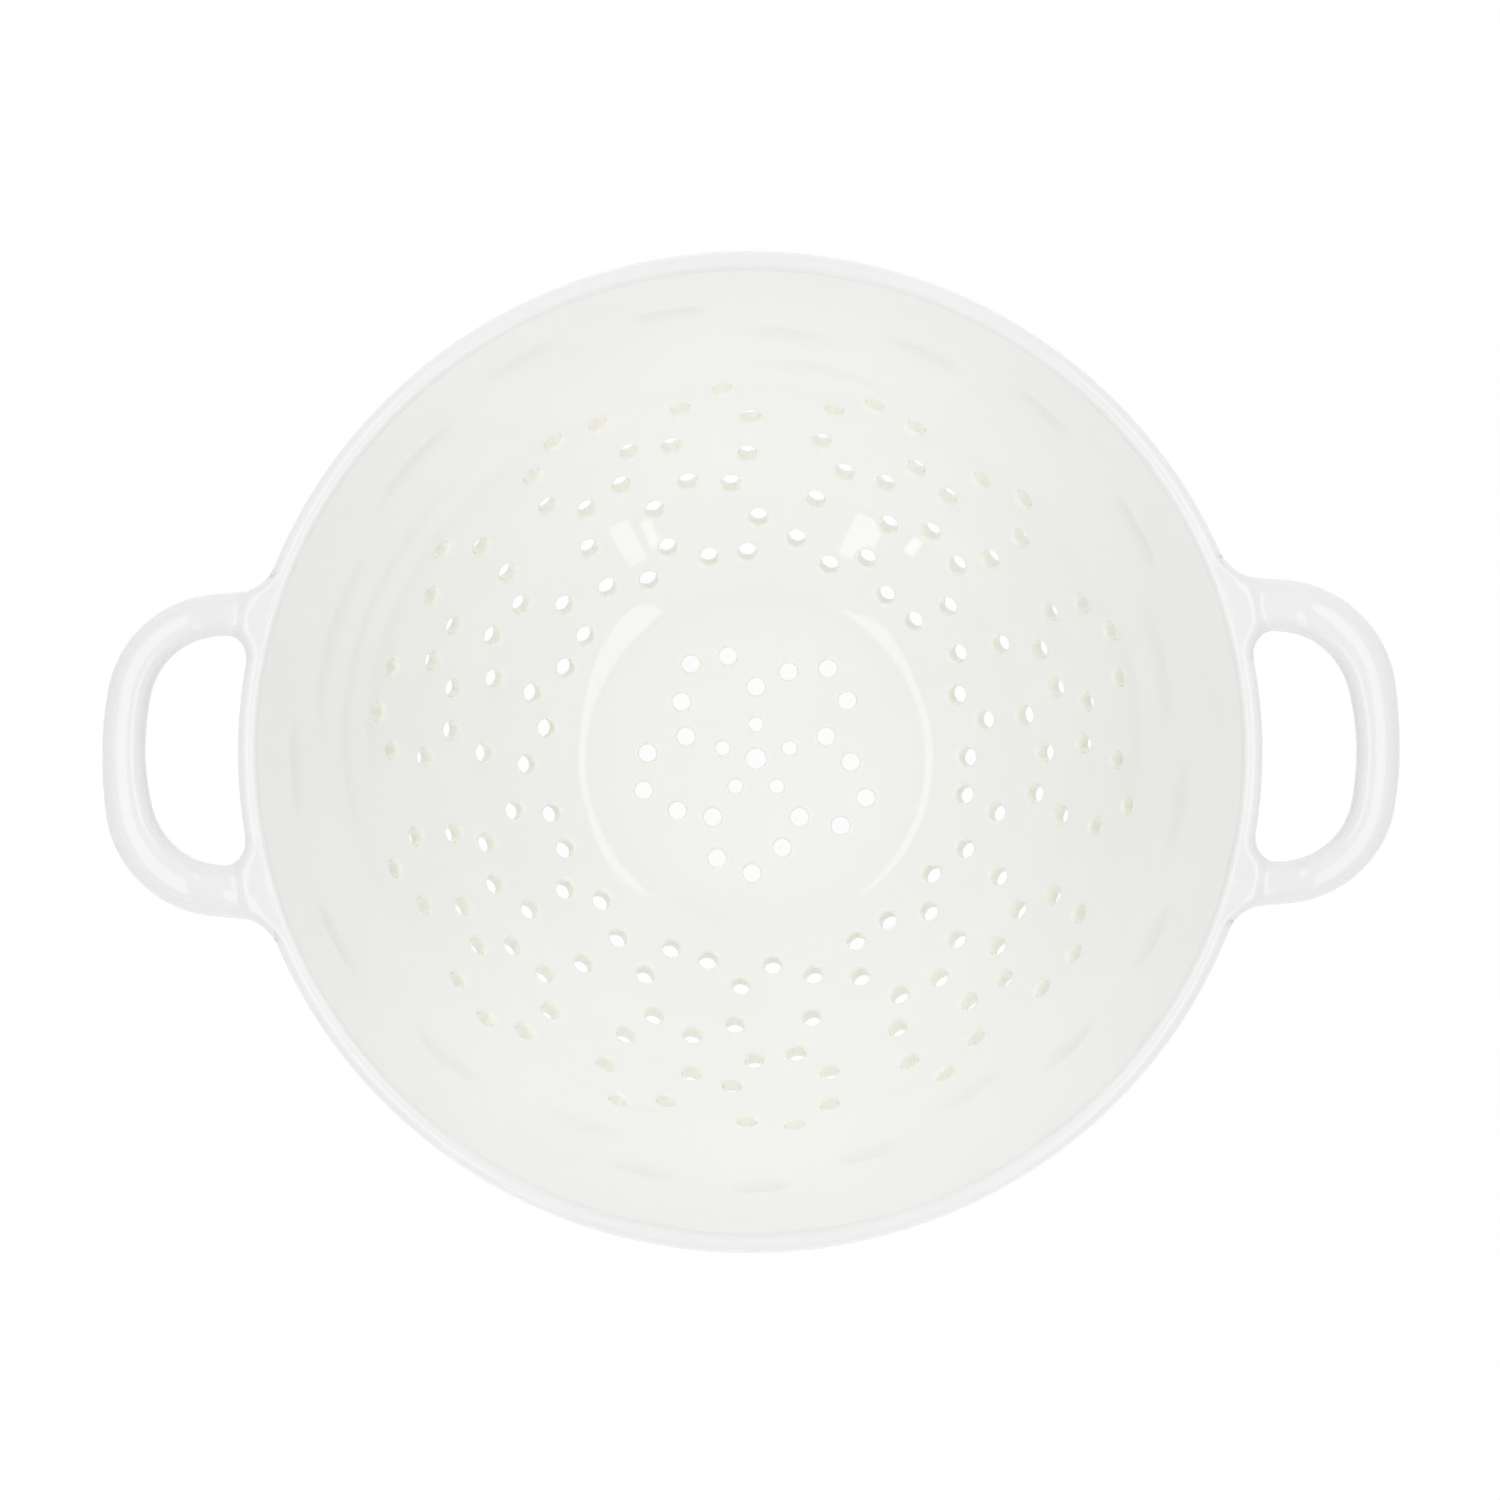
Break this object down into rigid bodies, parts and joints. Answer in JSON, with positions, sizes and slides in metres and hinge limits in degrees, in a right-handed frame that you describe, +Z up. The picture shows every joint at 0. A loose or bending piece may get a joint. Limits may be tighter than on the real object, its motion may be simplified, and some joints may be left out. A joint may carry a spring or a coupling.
{
  "type": "porcelain colander",
  "caption": "Round glazed porcelain colander with drain holes set in flower shapes, a low foot ring and loop handles at the rim, for rinsing and draining food.",
  "frame": {"origin": "middle of the foot ring's flat underside, on the surface that the colander stands on", "axes": "+Z up along the bowl's axis; +X from the bowl's axis to the right-hand handle; +Y away from a person who holds the handles left and right"},
  "size_m": [0.308, 0.24, 0.105],
  "materials": {
    "glaze": "gloss",
    "handle_glaze": "gloss",
    "foot": "gloss with a bare matt edge"
  },
  "bodies": {
    "root": {"bowl": "glaze", "foot_ring": "foot", "handle_left": "handle_glaze", "handle_right": "handle_glaze"}
  },
  "joints": []
}
